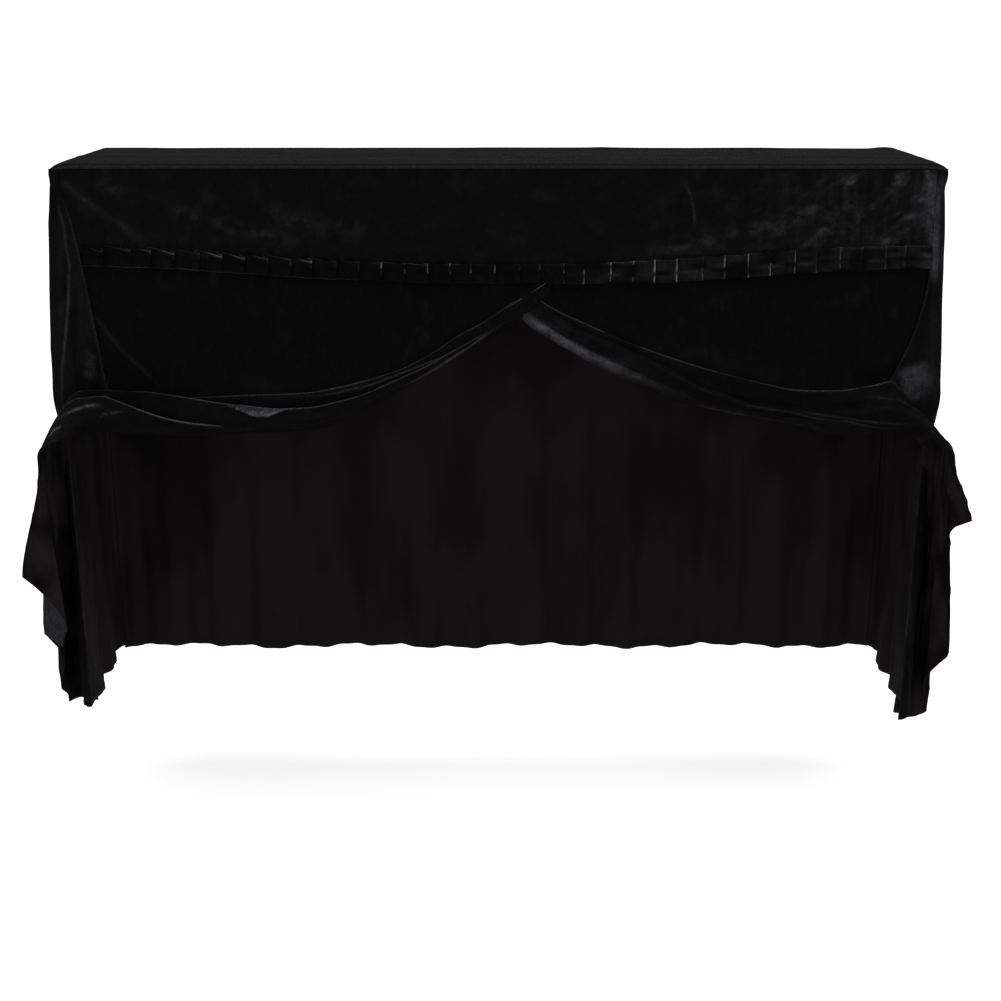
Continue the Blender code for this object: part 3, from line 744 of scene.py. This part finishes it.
def front_folds(side, share):
    """Points of the seven folds along the front for an array of shares: (shares, 7, 3), in own x."""
    x = mix(PARTING[side], LEDGE_END, share)
    folds = []
    for k, knots in enumerate(TRACKS[side]):
        rise, out = HUNG[side][k + 1, :2]
        z_out = smooth_line([*from_mm(knots), (LEDGE_END, LEDGE_Z + rise, out)], x)
        folds.append(np.stack([x, curtain_y(side, share) - z_out[:, 1], z_out[:, 0]], 1))
    return np.stack(folds, 1)


def top_seam(side, share, crest_end):
    """The curtain's sewn edge: along the valance, then down behind the side panel's front edge."""
    along, down = 0.78, 0.94
    lowest = SEAMS[side]["crest"]
    y = curtain_y(side, share)
    end = seam_x(side, -CURTAIN_TOP) + UNDER_LAP
    flat = np.stack([mix(PARTING[side], end, share / along), y, 0 * share + CURTAIN_TOP], 1)
    depth = mix(-CURTAIN_TOP, lowest, np.clip((share - along) / (down - along), 0, 1))
    lap = mix(UNDER_LAP, -0.0035, eased((depth - lowest + 0.055) / 0.035))
    point = np.stack([seam_x(side, depth) + lap, y, -depth], 1)
    to_ledge = np.clip((share - down) / (1 - down), 0, 1)[:, None]
    point = mix(point, crest_end, to_ledge)
    return np.where((share <= along)[:, None], flat, point)


def ledge_end_seam(side):
    rise, out = HUNG[side][0, :2]
    return np.array([LEDGE_END, FRONT_Y + CURTAIN_BEHIND - out, LEDGE_Z + rise])


def over_cheek(side, turn):
    angle = np.maximum(0, turn)[:, None] * math.pi / 2
    rise3, out3, rise4, out4 = HUNG[side][:, :4].T[:, None, :]
    sunk = eased((turn - SINK[side]) / (1 - SINK[side]))[:, None]
    rise, out = mix(rise3, rise4, sunk), mix(out3, out4, eased((turn + 1) / 1.7)[:, None])
    to_cheek = mix(LEDGE_END, CHEEK_X, 1 + np.minimum(0, turn))[:, None]
    x = to_cheek + (CHEEK_OUT[side] + rise4) * np.sin(angle)
    z = LEDGE_Z - CHEEK_FALL + (CHEEK_FALL + rise) * np.cos(angle)
    return np.stack([x, FRONT_Y + CURTAIN_BEHIND - out, z], 2)


def hanging(side, share):
    rise4, out4, rise5, out5, hem = HUNG[side][:, 2:].T[:, None, :]
    share = share[:, None]
    x = CHEEK_X + CHEEK_OUT[side] + mix(rise4, rise5, eased(share * 0.9))
    y = FRONT_Y + CURTAIN_BEHIND - mix(out4, out5, share ** 1.15)
    # The sewn edge lies against the side panel, and goes back along it towards the hem
    first, last = SEWN_X[side]
    x[:, 0] = mix(first, last, eased((y[:, 0] + 0.197) / 0.032))
    return np.stack([x, y, mix(LEDGE_Z - CHEEK_FALL, hem, share)], 2)


def rounded(points, reaches, flat_steps):
    """Samples along the broken line through points (places, n, 3), with each inner corner rounded off over
    its reach (as a share of the shorter side, or in metres if it is tight), in so many steps."""
    rows, tags = [points[:, 0]], [0.0]
    count = points.shape[1]
    before = [points[:, 0]]
    for k in range(1, count - 1):
        corner = points[:, k]
        to_last, to_next = points[:, k - 1] - corner, points[:, k + 1] - corner
        a, b = np.linalg.norm(to_last, axis=1)[:, None], np.linalg.norm(to_next, axis=1)[:, None]
        kind, amount, bend_steps = reaches[k]
        limit = 0.46 * np.minimum(a, b)
        reach = np.minimum(limit, amount) if kind == "tight" else limit * amount
        start = corner + to_last / np.maximum(a, 1e-9) * reach
        end = corner + to_next / np.maximum(b, 1e-9) * reach
        for i in range(1, flat_steps[k - 1]):
            rows.append(mix(before[-1], start, i / flat_steps[k - 1]))
            tags.append(mix(k - 0.75 if k > 1 else 0.0, k - 0.25, i / flat_steps[k - 1]))
        for i in range(bend_steps + 1):
            t = i / bend_steps
            rows.append(start * (1 - t) ** 2 + corner * 2 * t * (1 - t) + end * t * t)
            tags.append(k - 0.25 + 0.5 * t)
        before.append(end)
    steps = flat_steps[count - 2]
    for i in range(1, steps + 1):
        rows.append(mix(before[-1], points[:, -1], i / steps))
        tags.append(count - 2 + mix(0.25, 1.0, i / steps))
    return np.stack(rows, 1), np.array(tags)


def seen_on(grid, y):
    """Own x and z where these points show on an upright plane, seen from the keyboard side."""
    share = (y - EYE_Y) / (grid[..., 1] - EYE_Y)
    return grid[..., 0] * share, EYE_Z + (grid[..., 2] - EYE_Z) * share


def curtain(side, material, inside):
    """One front curtain: flat under the valance, folded on the ledge, and hanging beside the cheek."""
    share = np.concatenate([np.linspace(0, 0.94, 232), np.linspace(0.94, 1, 16)[1:]])
    turns = np.linspace(-1, 1, 38)[1:]
    falls = np.linspace(0, 1, 62)[1:]
    on_front = front_folds(side, share)
    seam = top_seam(side, share, ledge_end_seam(side))
    cheek, hung = over_cheek(side, turns), hanging(side, falls)
    folds = np.concatenate([np.concatenate([seam[:, None], on_front], 1), cheek, hung])
    places = len(folds)
    # A pocket behind the first crest, so that the flat cloth goes down behind it
    t = np.concatenate([share, 1 + 0 * turns, 1 + 0 * falls])
    pocket = (0.016 * eased((t - 0.02) / 0.10) * (1 - eased((t - 0.86) / 0.10)))[:, None]
    seam, crest = folds[:, 0], folds[:, 1]
    down = unit(crest - seam)
    hidden = crest - down * (0.003 - pocket)
    cheek_y = FRONT_Y + CURTAIN_BEHIND - HUNG[side][0, 1] + 0 * turns
    base_y = np.concatenate([curtain_y(side, share), cheek_y, hung[:, 0, 1]])
    on_plane = np.clip(pocket / 0.016, 0, 1)[:, 0]
    hidden[:, 1] = mix(hidden[:, 1], np.minimum(base_y, crest[:, 1] + 0.006), on_plane)
    # The flat cloth keeps its plane until close above the pocket
    steps = 1 - (1 - np.linspace(0, 1, 31)[:-1]) ** 1.6
    rows = [mix(seam, hidden, s) for s in steps]
    for s, row in zip(steps, rows):
        row[:, 1] = mix(seam[:, 1], hidden[:, 1], max(0.0, (s - 0.7) / 0.3) ** 2)
    tight, wide, fine = ("tight", 0.0042, 6), ("wide", 0.95, 9), ("wide", 0.95, 15)
    chain = np.concatenate([hidden[:, None], folds[:, 1:]], 1)
    reaches = [None, tight, wide, tight, fine, tight, fine, None]
    if side == "right":
        reaches = [None, tight, wide, ("tight", 0.006, 6), wide, ("tight", 0.009, 8), wide, None]
    bundle, tags = rounded(chain, reaches, [4, 8, 5, 8, 5, 12, 6])
    grid = np.concatenate([np.stack(rows, 1), bundle], 1)  # (places, rows, 3)
    tags = np.concatenate([steps - 1, tags])[None, :] + 0 * grid[..., 0]
    own_x, z = grid[..., 0], grid[..., 2]
    where = np.arange(places)
    last_front, last_cheek = len(share), len(share) + len(turns)
    fall = np.concatenate([0 * share, 0 * turns, falls])[:, None]
    turned = np.concatenate([0 * share, np.clip(turns, 0, 1), 1 + 0 * falls])[:, None]
    run = np.concatenate([[0], np.cumsum(np.linalg.norm(np.diff(folds[:, 4], axis=0), axis=1))])[:, None]
    plane = np.stack([run + 0 * own_x, 0 * own_x, tags * 0.05], 2)
    flat = np.stack([own_x, 0 * own_x, z], 2)
    seed = seam_seed(side)

    # Wrinkles: long and shallow on the front, finer and livelier where the cloth hangs
    is_flat = 1 - eased((tags + 0.25) / 0.25)
    clear = eased((-0.185 - z) / 0.03)
    ripple = 0.0010 * fractal(flat, (0.10, 1, 0.22), 3, 3 + seed)
    ripple = ripple * is_flat * clear * eased((0.66 - own_x) / 0.05)
    folded = (1 - is_flat) * (1 - turned)
    ripple = ripple + folded * 0.0013 * fractal(plane, (0.11, 1, 0.035), 3, 8 + seed)
    ripple = ripple + turned * (0.0034 * fractal(plane, (0.16, 1, 0.030), 3, 19 + seed)
                                + 0.0022 * creases(plane, (0.10, 1, 0.02), 26 + seed, 4))
    if side == "left":
        beyond = np.clip((tags - 5.8) / 1.2, 0, 1)
        grid[..., 2] += 0.115 * np.sqrt(beyond) * (1 - beyond) * fall ** 3
    out = normals(grid)
    grid = grid + out * (ripple * np.clip(run * 12, 0, 1))[..., None]

    pile_and_painted_sheen = np.zeros(own_x.shape)
    cloudy = np.clip(fractal(plane, (0.07, 1, 0.03), 4, 48 + seed), 0, 1)
    ragged = np.clip(0.55 + 1.1 * fractal(flat, (0.028, 1, 0.016), 4, 23 + seed), 0, 1.6)
    for k, knots in SHINE[side].items():
        line = smooth_line(knots, own_x)[..., 0] * (own_x >= knots[0][0]) * (own_x <= knots[-1][0])
        pile_and_painted_sheen += line * bell(tags - k - 1, 0.10) * (0.75 + 0.25 * ragged) * (1 - 0.5 * turned)
    # Painted highlight strokes, placed as they show on upright planes near the folds
    ends = ((0, 0.3), (0.2, 1), (0.7, 0.8), (1, 0))
    if side == "left":
        at_x, at_z = seen_on(grid, -0.2146)
        # The crescent: a bulge with a painted highlight, brightest along its lower rim
        low = smooth_line(from_mm([(366, -417.5), (375, -419), (393, -425), (411, -431), (430, -429),
                           (447, -421), (471, -412), (480, -408)]), at_x)[..., 0]
        high = smooth_line(from_mm([(366, -417), (385, -416.5), (446, -410), (489, -405)]), at_x)[..., 0]
        belly = eased((at_z - low + 0.0010) / 0.002) * eased((high - at_z + 0.0015) / 0.002) * (tags > 3)
        belly = belly * eased((at_x - 0.366) / 0.02) * eased((0.482 - at_x) / 0.02)
        low_part = 1 - eased((at_z - low) / np.maximum(high - low, 0.002))
        fibres = np.clip(0.5 + 1.5 * fractal(flat, (0.0080, 1, 0.0040), 3, 29), 0, 1.6)
        pile_and_painted_sheen += belly * (0.08 + 0.30 * low_part) * (0.5 + 0.55 * fibres)
        pile_and_painted_sheen += stroke([(704, -260), (685, -284), (665, -312), (644, -334), (621, -357), (598, -382)],
                      0.0032, own_x, z, 0.11, ((0, 0.2), (0.4, 0.5), (0.8, 1), (1, 0.2))) * ragged * (tags < 0)
        grid = grid + out * (0.0035 * low_part * belly)[..., None]
        at_x, at_z = seen_on(grid, -0.20)
        pile_and_painted_sheen += stroke([(50, -302), (102, -328.5), (164, -353), (226, -377), (279, -389), (318, -396),
                       (365, -398)], 0.0013, at_x, at_z, 0.15, ends) * (tags > 1.2) * (tags < 3)
        pile_and_painted_sheen += stroke([(-8, -266), (50, -308), (102, -342), (146, -368), (173, -381)],
                      0.0012, at_x, at_z, 0.15, ends) * (tags > 3.2)
        at_x, at_z = seen_on(grid, -0.235)
        pile_and_painted_sheen += stroke([(690, -406.3), (716, -406.3), (738, -413), (757, -420.6), (770, -433)],
                      0.0015, at_x, at_z, 0.42, ((0, 0.2), (0.2, 1), (0.5, 0.8), (1, 0.1))) * (tags > 4)
        pile_and_painted_sheen += stroke([(656, -417), (688, -420), (697, -428)], 0.0016, at_x, at_z, 0.13, ends) * (tags > 4)
        # A patch of painted sheen on the hanging fold's velvet face
        sheen_patch = eased((tags - 5.0) / 0.2) * (1 - eased((tags - 6.1) / 0.1)) * eased((fall - 0.45) / 0.2)
        pile_and_painted_sheen += sheen_patch * 0.150 * (0.6 + 0.6 * cloudy)
        pile_and_painted_sheen += stroke([(764.6, -444), (775.5, -449), (785, -460)], 0.0017, at_x, at_z, 0.34) * (tags > 4)
    else:
        at_x, at_z = seen_on(grid, -0.2146)
        streak_highlight = [(40, -249), (65, -267), (114, -296), (168, -325), (222, -350), (258, -366),
                  (302, -385), (348, -399)]
        soft = ((0, 0.3), (0.12, 0.9), (0.4, 1), (0.6, 0.6), (0.78, 0.15), (1, 0))
        pile_and_painted_sheen += stroke(streak_highlight, 0.0072, at_x, at_z, 0.23, soft) * (0.6 + 0.5 * ragged) * (tags > 4.2)
        pile_and_painted_sheen += stroke(streak_highlight, 0.026, at_x, at_z, 0.045, soft) * ragged * (tags > 1)
        at_x, at_z = seen_on(grid, -0.2246)
        for line, strength in (
                ([(240, -318), (282, -341), (345, -375), (392, -392), (434, -408)], 0.03),
                ([(434, -408), (512, -420), (558, -432), (610, -437), (660, -448), (709, -455)], 0.09),
                ([(512, -417), (575, -426), (620, -433), (664, -439), (745, -444)], 0.08),
                ([(295, -400), (365, -412), (422, -424), (472, -433), (525, -442), (578, -454)], 0.08),
                ([(640, -392), (698, -397), (735, -418), (752, -440)], 0.06)):
            mark = stroke(line, 0.0018, at_x, at_z, 0.75 * strength, ends)
            pile_and_painted_sheen += mark * (0.5 + 0.6 * ragged) * (tags > 0.4)
    # Painted sheen on the folds and round the cheek, and painted highlights along the hanging creases and the
    # hem
    pile_and_painted_sheen += ((0.013 if side == "left" else 0.022) * (1 - is_flat) + 0.004 * turned) * cloudy
    cheek_sheen = bell(turned - 0.55, 0.35) * (fall < 0.02)
    pile_and_painted_sheen += 0.030 * cheek_sheen * (0.3 + ragged) * (1 - is_flat)
    pile_and_painted_sheen += turned * 0.02 * creases(plane, (0.09, 1, 0.022), 37 + seed, 6) * ragged
    hem_highlight = bell(1 - fall, 0.012) * (fall > 0)
    pile_and_painted_sheen += 0.03 * hem_highlight * ragged

    grid = grid * (SIGNS[side], 1, 1)
    grid, pile_and_painted_sheen = np.swapaxes(grid, 0, 1), np.swapaxes(pile_and_painted_sheen, 0, 1)
    facing = (0.3 * SIGNS[side], -1, 0)
    return cloth(f"velvet_curtain_{side}", grid, pile_and_painted_sheen, facing, material, inside, hem=hem_of(grid, 0.5))


# The cover

black = velvet("black_velvet_cloth", (0.0015, 0.0015, 0.0016), (0.120, 0.116, 0.126))
trim = velvet("black_velvet_trim", (0.0012, 0.0012, 0.0013), (0.125, 0.121, 0.130))
# Lit and shaded copies of the woven back: the lighter one, painted light, for the shaded insides, and the
# darker one, painted shade, for the curtains' lit backs
lining_lightened_in_shade = backing("woven_back", (0.0105, 0.0088, 0.0092), 9, 0.20)
lining_darkened_in_light = backing("woven_back_darkened_in_light", (0.0078, 0.0066, 0.0071), 24, 0.42)

pieces = {
    "top_panel": top_panel(black, lining_lightened_in_shade),
    "valance": valance(black, lining_lightened_in_shade),
    "ruffle": ruffle(trim, lining_lightened_in_shade),
    "back_panel": back_panel(black, lining_lightened_in_shade),
}
for side in ("left", "right"):
    pieces[f"side_panel_{side}"] = side_panel(side, black, lining_lightened_in_shade)
    pieces[f"curtain_{side}"] = curtain(side, black, lining_darkened_in_light)

for node, piece in pieces.items():
    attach(piece, "root")
    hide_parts(node)


# Floor, light and camera


def stage_floor():
    mesh = bpy.data.meshes.new("floor")
    corners = [(x, y, FLOOR_Z) for x, y in ((-30, -30), (30, -30), (30, 30), (-30, 30))]
    mesh.from_pydata(corners, [], [(0, 1, 2, 3)])
    floor = bpy.data.objects.new("floor", mesh)
    bpy.context.scene.collection.objects.link(floor)
    material = bpy.data.materials.new("pale_floor")
    material.use_nodes = True
    shader = material.node_tree.nodes["Principled BSDF"]
    shader.inputs["Base Color"].default_value = (0.9, 0.9, 0.9, 1)
    shader.inputs["Roughness"].default_value = 1.0
    shader.inputs["Specular IOR Level"].default_value = 0.0
    shader.inputs["Emission Color"].default_value = (1, 1, 1, 1)
    shader.inputs["Emission Strength"].default_value = 0.30
    mesh.materials.append(material)


def area_light(name, place, target, size, power):
    light = bpy.data.lights.new(name, "AREA")
    light.shape = "RECTANGLE"
    light.size, light.size_y = size
    light.energy = power
    holder = bpy.data.objects.new(name, light)
    holder.location = place
    aim = Vector(target) - Vector(place)
    holder.rotation_euler = aim.to_track_quat("-Z", "Y").to_euler()
    bpy.context.scene.collection.objects.link(holder)


stage_floor()
area_light("softbox_above", (0.0, -0.9, 2.6), (0, -0.1, -0.3), (3.2, 1.6), 40)
area_light("softbox_behind", (0.0, 2.4, 2.2), (0, 0, -0.2), (3.4, 1.0), 37)
area_light("softbox_left", (-3.0, -2.4, 1.2), (0, -0.1, -0.4), (1.2, 1.8), 14)
area_light("softbox_right", (3.2, -1.8, 1.0), (0, -0.1, -0.4), (1.2, 1.8), 18)

world = bpy.data.worlds.new("studio")
world.use_nodes = True
world.node_tree.nodes["Background"].inputs["Color"].default_value = (1, 1, 1, 1)
world.node_tree.nodes["Background"].inputs["Strength"].default_value = 1.03
bpy.context.scene.world = world
bpy.context.scene.view_settings.view_transform = "Standard"
bpy.context.scene.view_settings.look = "None"

lens = bpy.data.cameras.new("camera")
lens.sensor_width = SENSOR_WIDTH
lens.lens = FOCAL_PIXELS / FRAME_PIXELS * SENSOR_WIDTH
lens.shift_x = 0.002
lens.clip_end = 100.0
camera = bpy.data.objects.new("camera", lens)
camera.location = (0.0, EYE_Y, EYE_Z)
camera.rotation_euler = (math.radians(90 - LOOKS_DOWN), 0.0, 0.0)
bpy.context.scene.collection.objects.link(camera)
bpy.context.scene.camera = camera

bpy.context.view_layer.update()
